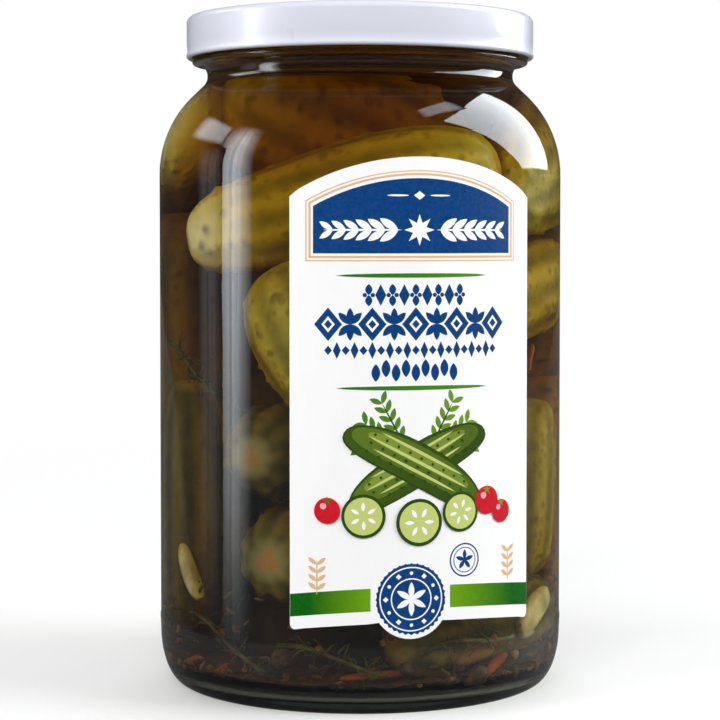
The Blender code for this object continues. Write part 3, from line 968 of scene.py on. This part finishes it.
def bent_sheet(name, polygons, finish, back, thickness=0.0):
    """Flat shapes (along the glass, height) laid on the jar at a distance."""
    flat = bmesh.new()
    for polygon in polygons:
        corners = [flat.verts.new((along, 0.0, height)) for along, height in polygon]
        flat.faces.new(corners)
    bmesh.ops.triangulate(flat, faces=flat.faces[:])
    low = min(vertex.co.x for vertex in flat.verts)
    high = max(vertex.co.x for vertex in flat.verts)
    strip = 1.5 * MM
    for step in range(math.ceil(low / strip), math.floor(high / strip) + 1):
        everything = flat.verts[:] + flat.edges[:] + flat.faces[:]
        bmesh.ops.bisect_plane(
            flat,
            geom=everything,
            dist=0.001 * MM,
            plane_co=(step * strip, 0.0, 0.0),
            plane_no=(1.0, 0.0, 0.0),
        )
    for face in flat.faces:
        if face.normal.y > 0:
            face.normal_flip()
    if thickness:
        made = bmesh.ops.extrude_face_region(flat, geom=flat.faces[:])
        moved = [item for item in made["geom"] if isinstance(item, bmesh.types.BMVert)]
        bmesh.ops.translate(flat, verts=moved, vec=(0.0, -thickness, 0.0))
        bmesh.ops.recalc_face_normals(flat, faces=flat.faces[:])
    reach = BODY_RADIUS + back
    alongs = [vertex.co.x for vertex in flat.verts]
    for vertex in flat.verts:
        angle = vertex.co.x / BODY_RADIUS + math.radians(LABEL_TURN)
        radius = reach - vertex.co.y
        vertex.co = (radius * math.sin(angle), -radius * math.cos(angle), vertex.co.z)
    mesh = bpy.data.meshes.new(name)
    flat.to_mesh(mesh)
    flat.free()
    made = mesh.attributes.new("along", "FLOAT", "POINT")
    made.data.foreach_set("value", np.array(alongs, dtype=np.float32))
    sheet = add_object(name, mesh, finish, smooth=False)
    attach(sheet, "root")
    return sheet


def spot_at(centre, distance, turn):
    """The point at a distance from a centre, at an angle in degrees."""
    angle = math.radians(turn)
    return (centre[0] + distance * math.cos(angle), centre[1] + distance * math.sin(angle))


def turned_shape(points, centre, turn):
    """Points turned by an angle in degrees and moved to a centre."""
    angle = math.radians(turn)
    across, up = math.cos(angle), math.sin(angle)
    moved = []
    for along, height in points:
        moved.append((centre[0] + along * across - height * up, centre[1] + along * up + height * across))
    return moved


def disc(centre, radius, sides=28):
    return arc(centre, radius, 0, 360, sides)[:-1]


def ring(centre, inside, outside, sides=48):
    """A flat ring, as a row of four-sided fields."""
    return between(disc(centre, outside, sides), disc(centre, inside, sides))


def between(outline, inner):
    """The field between two closed outlines with as many points."""
    fields = []
    for step in range(len(outline)):
        after = (step + 1) % len(outline)
        fields.append([inner[step], outline[step], outline[after], inner[after]])
    return fields


def leaf(centre, length, width, turn, sides=12):
    """A pointed leaf whose stalk is at the centre."""
    edge = []
    for step in range(sides + 1):
        share = step / sides
        edge.append((length * share, 0.5 * width * math.sin(math.pi * share) ** 0.8))
    mirrored = [(along, -height) for along, height in edge[-2:0:-1]]
    return turned_shape((edge + mirrored)[::-1], centre, turn)


def lozenge(centre, width, height):
    along, level = centre
    half, rise = 0.5 * width, 0.5 * height
    return [(along + half, level), (along, level + rise), (along - half, level), (along, level - rise)]


def star(centre, inside, outside, points):
    """Kites that meet at the centre, one for each point of the star."""
    half = math.pi / points
    side = (inside * math.cos(half), inside * math.sin(half))
    kite = [(0.0, 0.0), (side[0], -side[1]), (outside, 0.0), side]
    return [turned_shape(kite, centre, 90.0 + 360.0 * step / points) for step in range(points)]


def taper(centre, width, height, steps=16):
    """A bar drawn out to a point at each end."""
    upper = []
    for step in range(steps + 1):
        share = 2.0 * step / steps - 1.0
        level = centre[1] + 0.5 * height * (1 - share**2) ** 0.5
        upper.append((centre[0] + 0.5 * width * share, level))
    lower = [(along, 2 * centre[1] - level) for along, level in upper[-2:0:-1]]
    return (upper + lower)[::-1]


def panel_outline(half, bottom, shoulder, rise):
    outline = arch_points(half, shoulder, rise, PANEL_MIDDLE, 26)
    return outline + [(PANEL_MIDDLE - half, bottom), (PANEL_MIDDLE + half, bottom)]


def panel_edge(gap):
    """The panel's outline at a gap outside its blue field."""
    shoulder = PANEL_SHOULDER + 0.2 * MM + 0.6 * gap
    return panel_outline(PANEL_HALF + gap, PANEL_BOTTOM - gap, shoulder, PANEL_RISE + 0.3 * gap)


def title_row(reach, spacing):
    """Steps to both sides of the strips' middle, and each one's place along the label."""
    return [(step, STRIP_MIDDLE + spacing * step) for step in range(-reach, reach + 1)]


def make_label():
    """White paper with printed fields: a panel, bands, ornament and a seal."""
    sheet = bent_sheet("label_sheet", [paper_outline()], paper_material(), LABEL_BACK, LABEL_PAPER)
    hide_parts("label")
    print_panel()
    print_bands()
    print_ornament()
    print_sprays()
    print_branches()
    layer = print_gherkins(3)
    print_slices(layer)
    print_fruits(layer)
    print_seal()
    print_badge()


def print_ink(name, polygons, finish, layer):
    bent_sheet(name, polygons, finish, LABEL_BACK + LABEL_PAPER + layer * INK_STEP)


BLUE = ink_material("ink_blue", srgb(0, 62, 124))
GOLD = ink_material("ink_gold", srgb(226, 184, 138))
WHITE = ink_material("ink_white", srgb(250, 250, 250))
LEAF_GREEN = ink_material("ink_leaf_green", srgb(58, 120, 22), srgb(120, 158, 40), (-0.02, 0.02))
DARK_GREEN = ink_material("ink_dark_green", srgb(44, 72, 14))
PALE_GREEN = ink_material("ink_pale_green", srgb(196, 208, 120))
RED = ink_material("ink_red", srgb(206, 20, 38))
PINK = ink_material("ink_pink", srgb(222, 176, 186))


def print_panel():
    """A blue arched field in a double gold line, with a white garland."""
    field = panel_outline(PANEL_HALF, PANEL_BOTTOM, PANEL_SHOULDER, PANEL_RISE)
    print_ink("print_panel", [field], BLUE, 1)
    lines = []
    for gap, width in ((0.55 * MM, 0.5 * MM), (1.5 * MM, 0.28 * MM)):
        lines += between(panel_edge(gap + width), panel_edge(gap))
    print_ink("print_panel_lines", lines, GOLD, 1)
    garland = star((PANEL_MIDDLE, GARLAND_LEVEL), 1.7 * MM, 3.6 * MM, 8)
    for way in (1, -1):
        for step in range(6):
            root = (PANEL_MIDDLE + way * (5.0 + 2.95 * step) * MM, GARLAND_LEVEL)
            size = (4.9 - 0.26 * step) * MM
            for turn in (90 - 58 * way, 58 * way - 90):
                garland.append(leaf(root, size, 0.36 * size, turn))
        garland.append(taper((PANEL_MIDDLE + way * 13.0 * MM, GARLAND_LEVEL), 18.0 * MM, 0.5 * MM))
    garland.append(lozenge((PANEL_MIDDLE, DASH_LEVEL), 2.6 * MM, 2.0 * MM))
    for way in (1, -1):
        garland.append(taper((PANEL_MIDDLE + way * 5.0 * MM, DASH_LEVEL), 5.0 * MM, 0.45 * MM))
    print_ink("print_garland", garland, WHITE, 2)


def print_bands():
    """Thin drawn-out strips, and the broad band with the seal on it."""
    strips = [taper((STRIP_MIDDLE, level), STRIP_WIDTH, 1.0 * MM) for level in STRIP_LEVELS]
    strip_green = ink_material("ink_strip_green", srgb(40, 120, 20), srgb(70, 140, 10), (-0.01, 0.01))
    print_ink("print_strips", strips, strip_green, 1)
    half = 0.5 * LABEL_WIDTH - 0.05 * MM
    for name, start, end in (("left", -half, SEAL_ALONG - BAND_GAP), ("right", SEAL_ALONG + BAND_GAP, half)):
        low, high = [], []
        for step in range(17):
            along = start + (end - start) * step / 16
            low.append((along, label_base(along) + BAND_LOW))
            high.append((along, label_base(along) + BAND_HIGH))
        near, far = (end, start) if name == "left" else (start, end)
        fade = (near, near + 0.75 * (far - near))
        finish = ink_material(f"ink_band_{name}", srgb(108, 162, 8), srgb(0, 94, 2), fade)
        print_ink(f"print_band_{name}", [low + high[::-1]], finish, 1)


def print_ornament():
    """Four rows of woven-looking ornament in blue where a title would stand."""
    shapes = []
    for step, along in title_row(4, 2.7 * MM):
        centre = (along, 96.5 * MM)
        if step % 2:
            shapes.append(lozenge(centre, 2.5 * MM, 4.9 * MM))
        else:
            shapes += [leaf(centre, 2.5 * MM, 1.6 * MM, turn) for turn in (90, -90)]
            shapes += [disc(spot_at(centre, 0.9 * MM, turn), 0.5 * MM, 12) for turn in (0, 180)]
    for step, along in title_row(4, 5.0 * MM):
        centre = (along, 89.9 * MM)
        if step % 2:
            shapes += [leaf(centre, 3.7 * MM, 1.6 * MM, turn) for turn in (90, -90, 45, 135, -45, -135)]
        else:
            shapes += between(lozenge(centre, 6.4 * MM, 7.6 * MM), lozenge(centre, 3.1 * MM, 3.7 * MM))
            shapes.append(lozenge(centre, 1.8 * MM, 2.0 * MM))
    for step, along in title_row(10, 2.0 * MM):
        tall = 3.9 if step % 2 else 2.1
        shapes.append(lozenge((along, 84.0 * MM), 1.8 * MM, tall * MM))
    for step, along in title_row(4, 2.3 * MM):
        way = 1 if step % 2 else -1
        shapes.append(leaf((along, (79.4 - 1.5 * way) * MM), 4.0 * MM, 2.0 * MM, 90 * way))
    print_ink("print_ornament", shapes, BLUE, 1)


def print_sprays():
    """A gold spray above each end of the band."""
    sprays = []
    for along, middle, way in ((-24.2 * MM, 32.4 * MM, 1), (23.4 * MM, 33.6 * MM, -1)):
        for step in range(4):
            root = (along, middle + (step - 1.5) * 1.9 * MM)
            sprays += [leaf(root, 2.6 * MM, 0.95 * MM, turn) for turn in (38, 142)]
        sprays.append(taper((along + 0.01 * way * MM, middle), 0.4 * MM, 8.0 * MM))
    print_ink("print_sprays", sprays, GOLD, 1)


def gherkin(centre, length, girth, turn):
    """A bent capsule seen from the side."""
    edge = []
    for step in range(37):
        angle = math.tau * step / 36
        along = 0.5 * length * math.copysign(abs(math.cos(angle)) ** 0.75, math.cos(angle))
        up = 0.5 * girth * math.copysign(abs(math.sin(angle)) ** 0.85, math.sin(angle))
        edge.append((along, up - 0.16 * girth * (2 * along / length) ** 2))
    return turned_shape(edge[:-1], centre, turn)


def print_branches():
    """Leaf sprays that fan out behind the gherkins."""
    leaves, stems = [], []
    for way in (1, -1):
        root = (STILL_LIFE_MIDDLE + way * 2.0 * MM, 60.0 * MM)
        for branch in range(3):
            turn = 90 - way * (28 + 26 * branch)
            reach = (13.5 - 1.2 * branch) * MM
            for step in range(2, 7):
                joint = spot_at(root, reach * step / 6, turn)
                leaves += [leaf(joint, 3.1 * MM, 1.25 * MM, turn + side) for side in (42, -42)]
            stem = taper((0.0, 0.0), reach, 0.4 * MM)
            stems.append(turned_shape(stem, spot_at(root, 0.5 * reach, turn), turn))
    print_ink("print_leaves", leaves, LEAF_GREEN, 1)
    print_ink("print_stems", stems, DARK_GREEN, 2)


def print_gherkins(layer):
    """Two crossed gherkins in three tones; returns the first layer that is free."""
    run = (-0.01, 0.01)
    skin_tones = (
        (ink_material("ink_skin_deep", srgb(60, 86, 18), srgb(50, 74, 16), run), 36.2, 8.8, 0.0),
        (ink_material("ink_skin", srgb(92, 116, 32), srgb(78, 102, 26), run), 33.8, 6.6, 0.7),
        (ink_material("ink_skin_light", srgb(128, 150, 58), srgb(116, 138, 48), run), 27.0, 3.0, 1.5),
    )
    centre = (STILL_LIFE_MIDDLE, 58.0 * MM)
    for name, turn in (("back", 28), ("front", -28)):
        edge = gherkin(centre, 37 * MM, 9.6 * MM, turn)
        print_ink(f"print_gherkin_{name}_edge", [edge], DARK_GREEN, layer)
        for tone, (finish, length, girth, rise) in enumerate(skin_tones):
            shape = gherkin(spot_at(centre, rise * MM, turn + 90), length * MM, girth * MM, turn)
            layer += 1
            print_ink(f"print_gherkin_{name}_tone_{tone}", [shape], finish, layer)
        marks, dots = [], []
        for line in (-1, 0, 1):
            mark = taper((0.0, (2.1 * line + 0.5) * MM), (27 - 5 * abs(line)) * MM, 0.7 * MM)
            marks.append(turned_shape(mark, centre, turn))
            for step in range(-4, 5):
                dot = disc((3.0 * step * MM, (2.1 * line - 0.6) * MM), 0.34 * MM, 8)
                dots.append(turned_shape(dot, centre, turn))
        print_ink(f"print_gherkin_{name}_marks", marks, PALE_GREEN, layer + 1)
        print_ink(f"print_gherkin_{name}_dots", dots, DARK_GREEN, layer + 2)
        layer += 3
    return layer


def print_slices(layer):
    """Round slices with a ring of seeds, in a row below the gherkins."""
    rims, flesh, seeds = [], [], []
    for along, height, radius in ((-12.6, 46.4, 5.0), (0.2, 44.8, 5.4), (10.4, 46.8, 4.6)):
        centre = (STILL_LIFE_MIDDLE + along * MM, height * MM)
        rims.append(disc(centre, radius * MM, 36))
        flesh.append(disc(centre, 0.86 * radius * MM, 32))
        for step in range(6):
            turn = 60 * step + 7 * along
            root = spot_at(centre, 0.22 * radius * MM, turn)
            seeds.append(leaf(root, 0.42 * radius * MM, 0.17 * radius * MM, turn))
    print_ink("print_slice_rims", rims, DARK_GREEN, layer)
    print_ink("print_slices", flesh, PALE_GREEN, layer + 1)
    print_ink("print_seeds", seeds, WHITE, layer + 2)


def print_fruits(layer):
    """Small red fruits with a shine and a tuft of leaves."""
    fruits, shines, tops = [], [], []
    for along, height, radius in ((17.6, 49.0, 3.3), (21.9, 46.2, 2.7), (-20.8, 47.6, 3.0)):
        centre = (STILL_LIFE_MIDDLE + along * MM, height * MM)
        fruits.append(disc(centre, radius * MM))
        shine = (centre[0] - 0.3 * radius * MM, centre[1] + 0.35 * radius * MM)
        shines.append(disc(shine, 0.24 * radius * MM, 12))
        tops += star(spot_at(centre, 0.75 * radius * MM, 90), 0.3 * MM, 0.42 * radius * MM, 5)
    print_ink("print_fruits", fruits, RED, layer)
    print_ink("print_fruit_shine", shines, PINK, layer + 1)
    print_ink("print_fruit_tops", tops, LEAF_GREEN, layer + 1)


def print_seal():
    """A scalloped blue seal with white rings and a plain star of leaves."""
    centre = (SEAL_ALONG, SEAL_LEVEL)
    scallops = []
    for step in range(144):
        turn = 360 * step / 144
        radius = (8.05 + 0.22 * math.cos(math.radians(36 * turn))) * MM
        scallops.append(spot_at(centre, radius, turn))
    print_ink("print_seal", [scallops], BLUE, 1)
    white = ring(centre, 7.1 * MM, 7.4 * MM) + ring(centre, 4.5 * MM, 4.8 * MM)
    for step in range(12):
        spot = spot_at(centre, 5.95 * MM, 30 * step)
        white.append(disc(spot, 0.42 * MM, 10) if step % 2 else lozenge(spot, 1.3 * MM, 1.3 * MM))
    white += [leaf(centre, 3.9 * MM, 1.35 * MM, 90 + 60 * step) for step in range(6)]
    print_ink("print_seal_rings", white, WHITE, 2)


def print_badge():
    """A small ringed badge with five leaves."""
    badge = (10.6 * MM, 35.6 * MM)
    shapes = ring(badge, 3.55 * MM, 3.9 * MM, 36) + ring(badge, 2.75 * MM, 2.95 * MM, 36)
    shapes += [leaf(badge, 2.4 * MM, 1.0 * MM, 90 + 72 * step) for step in range(5)]
    print_ink("print_badge", shapes, BLUE, 1)


# Studio


def aimed(thing, place, target):
    thing.location = place
    way = Vector(target) - Vector(place)
    thing.rotation_euler = way.to_track_quat("-Z", "Y").to_euler()


def lamp(name, place, size, energy, colour=(1.0, 1.0, 1.0)):
    """A soft light that lights without a reflection."""
    light = bpy.data.lights.new(name, "AREA")
    light.shape = "RECTANGLE"
    light.size, light.size_y = size
    light.energy = energy
    light.color = colour
    holder = bpy.data.objects.new(name, light)
    bpy.context.scene.collection.objects.link(holder)
    aimed(holder, place, (0.0, 0.0, 0.08))
    holder.visible_camera = False
    holder.visible_glossy = False
    holder.visible_transmission = False


def window(
    name,
    turn,
    distance,
    size,
    middle,
    lift,
    sides=(1.0, 1.0),
    soft=(0.3, 0.3),
    eased=1.0,
    slant=0.0,
    streaks=0.0,
):
    """An upright bright sheet that shows only in reflections.

    It stands at an angle round the jar, at a distance, its middle at a height.
    Its light eases from the first to the second value of lift over the eased
    share of its height, times the values of sides across it as seen from the
    jar, and fades out over a soft share of its half width and half height. Its
    lower corner on the first side is cut back by the slant, and upright streaks
    dim it by up to their share.
    """
    mesh = bpy.data.meshes.new(name)
    half_width, half_height = 0.5 * size[0], 0.5 * size[1]
    corners = [(slant - half_width, -half_height, 0), (half_width, -half_height, 0)]
    corners += [(half_width, half_height, 0), (-half_width, half_height, 0)]
    mesh.from_pydata(corners, [], [(0, 1, 2, 3)])
    made = bpy.data.materials.new(name)
    made.use_nodes = True
    tree = made.node_tree
    tree.nodes.remove(tree.nodes["Principled BSDF"])
    place = add(tree, "SeparateXYZ", {0: add(tree, "TexCoord").outputs["Object"]})
    top = (2.0 * eased - 1.0) * half_height
    heights = {"Value": place.outputs["Y"], 1: -half_height, 2: top, 3: lift[0], 4: lift[1]}
    strength = add(tree, "MapRange", heights, interpolation_type="SMOOTHSTEP").outputs[0]
    factors = [spread(tree, place.outputs["X"], -half_width, half_width, *sides)]
    uneven = {"W": place.outputs["X"], "Scale": 90.0, "Detail": 3.0}
    grain = add(tree, "TexNoise", uneven, noise_dimensions="1D")
    factors.append(spread(tree, grain.outputs[0], 0.35, 0.65, 1.0 - streaks, 1.0))
    for axis, half, share in (("X", half_width, soft[0]), ("Y", half_height, soft[1])):
        away = maths(tree, "ABSOLUTE", place.outputs[axis])
        factors.append(spread(tree, away, (1.0 - share) * half, half, 1.0, 0.0))
    for factor in factors:
        strength = maths(tree, "MULTIPLY", strength, factor)
    glow = add(tree, "Emission", {"Color": WINDOW_LIGHT, "Strength": strength})
    put_out(tree, Surface=glow.outputs[0])
    sheet = add_object(name, mesh, made, smooth=False)
    aimed(sheet, around(turn, distance, middle), (0.0, 0.0, middle))
    sheet.visible_camera = False
    sheet.visible_diffuse = False
    sheet.visible_shadow = False
    sheet.visible_transmission = False


def make_floor():
    """A pale floor that runs out into the white background."""
    mesh = bpy.data.meshes.new("floor")
    shape = bmesh.new()
    bmesh.ops.create_circle(shape, cap_ends=True, segments=96, radius=6.0)
    shape.to_mesh(mesh)
    shape.free()
    made, tree, shader = material("pale_floor", Roughness=0.7, IOR=1.3)
    pale = blend(tree, noise(tree, 3.0, 2.0), srgb(244, 244, 244), srgb(247, 247, 247))
    seen = add(tree, "LightPath").outputs["Is Camera Ray"]
    wire(tree, shader, Base_Color=blend(tree, seen, FLOOR_BOUNCE, pale))
    place = add(tree, "TexCoord").outputs["Object"]
    far = add(tree, "VectorMath", {0: place}, operation="LENGTH").outputs["Value"]
    level = spread(tree, seen, 0.0, 1.0, 0.12, 1.0)
    glow = add(tree, "Emission", {"Color": PURE_WHITE, "Strength": level})
    run_out = spread(tree, far, 0.12, 0.7)
    both = add(tree, "MixShader", {0: run_out, 1: shader.outputs[0], 2: glow.outputs[0]})
    put_out(tree, Surface=both.outputs[0])
    floor = add_object("floor", mesh, made, smooth=False)


def make_world():
    """White light from all round, dimmer wherever the camera doesn't look straight at it."""
    world = bpy.data.worlds.new("studio")
    bpy.context.scene.world = world
    world.use_nodes = True
    tree = world.node_tree
    path = add(tree, "LightPath")
    seen = spread(tree, path.outputs["Is Camera Ray"], 0.0, 1.0, 0.35, 1.0)
    glossy = spread(tree, path.outputs["Is Glossy Ray"], 0.0, 1.0, 1.0, 0.12)
    background = tree.nodes["Background"]
    background.inputs["Color"].default_value = PURE_WHITE
    wire(tree, background, Strength=maths(tree, "MULTIPLY", seen, glossy))


def make_studio():
    make_floor()
    make_world()
    lamp("front_fill", (-0.2, -1.3, 0.9), (1.2, 0.8), 13.0)
    lamp("left_fill", (-1.2, -0.5, 0.5), (0.8, 1.0), 10.5)
    lamp("right_fill", (1.2, -0.3, 0.6), (0.8, 1.0), 14.0, (0.98, 0.99, 1.0))
    lamp("back_fill", (0.0, 1.3, 0.9), (1.6, 0.8), 10.0)
    window(
        "left_window", -68.6, 0.242, (0.1, 0.29), 0.145, (0.0, 10.0), soft=(0.8, 0.4), eased=0.5, streaks=0.4
    )
    window(
        "left_window_side", -85, 0.24, (0.085, 0.2), 0.1, (0.0, 0.9), soft=(0.6, 0.3), eased=0.6, streaks=0.5
    )
    window("left_window_top", -101, 1.1, (0.8, 0.36), 0.7, (4.5, 4.5), soft=(0.5, 0.4))
    window("right_window", 97, 1.2, (1.78, 1.4), 0.892, (10.0, 11.0), (0.7, 1.0), (0.09, 0.03), slant=0.98)
    window("right_window_top", 71, 1.0, (0.8, 0.5), 1.6, (3.5, 3.5))
    scene = bpy.context.scene
    scene.view_settings.view_transform = "Standard"
    scene.view_settings.look = "None"


def make_camera():
    data = bpy.data.cameras.new("camera")
    data.sensor_width = 36.0
    data.lens = CAMERA_LENS
    data.shift_y = CAMERA_SHIFT
    camera = bpy.data.objects.new("camera", data)
    bpy.context.scene.collection.objects.link(camera)
    camera.location = (0.0, -CAMERA_DISTANCE, CAMERA_LEVEL)
    camera.rotation_euler = (math.radians(90.0 - CAMERA_TILT), 0.0, 0.0)
    bpy.context.scene.camera = camera


def main():
    make_glass()
    make_brine()
    make_lid()
    make_pickles()
    make_cloves()
    make_vegetable_bits()
    make_spices()
    make_dill()
    make_sediment()
    make_core()
    make_label()
    make_studio()
    make_camera()


main()
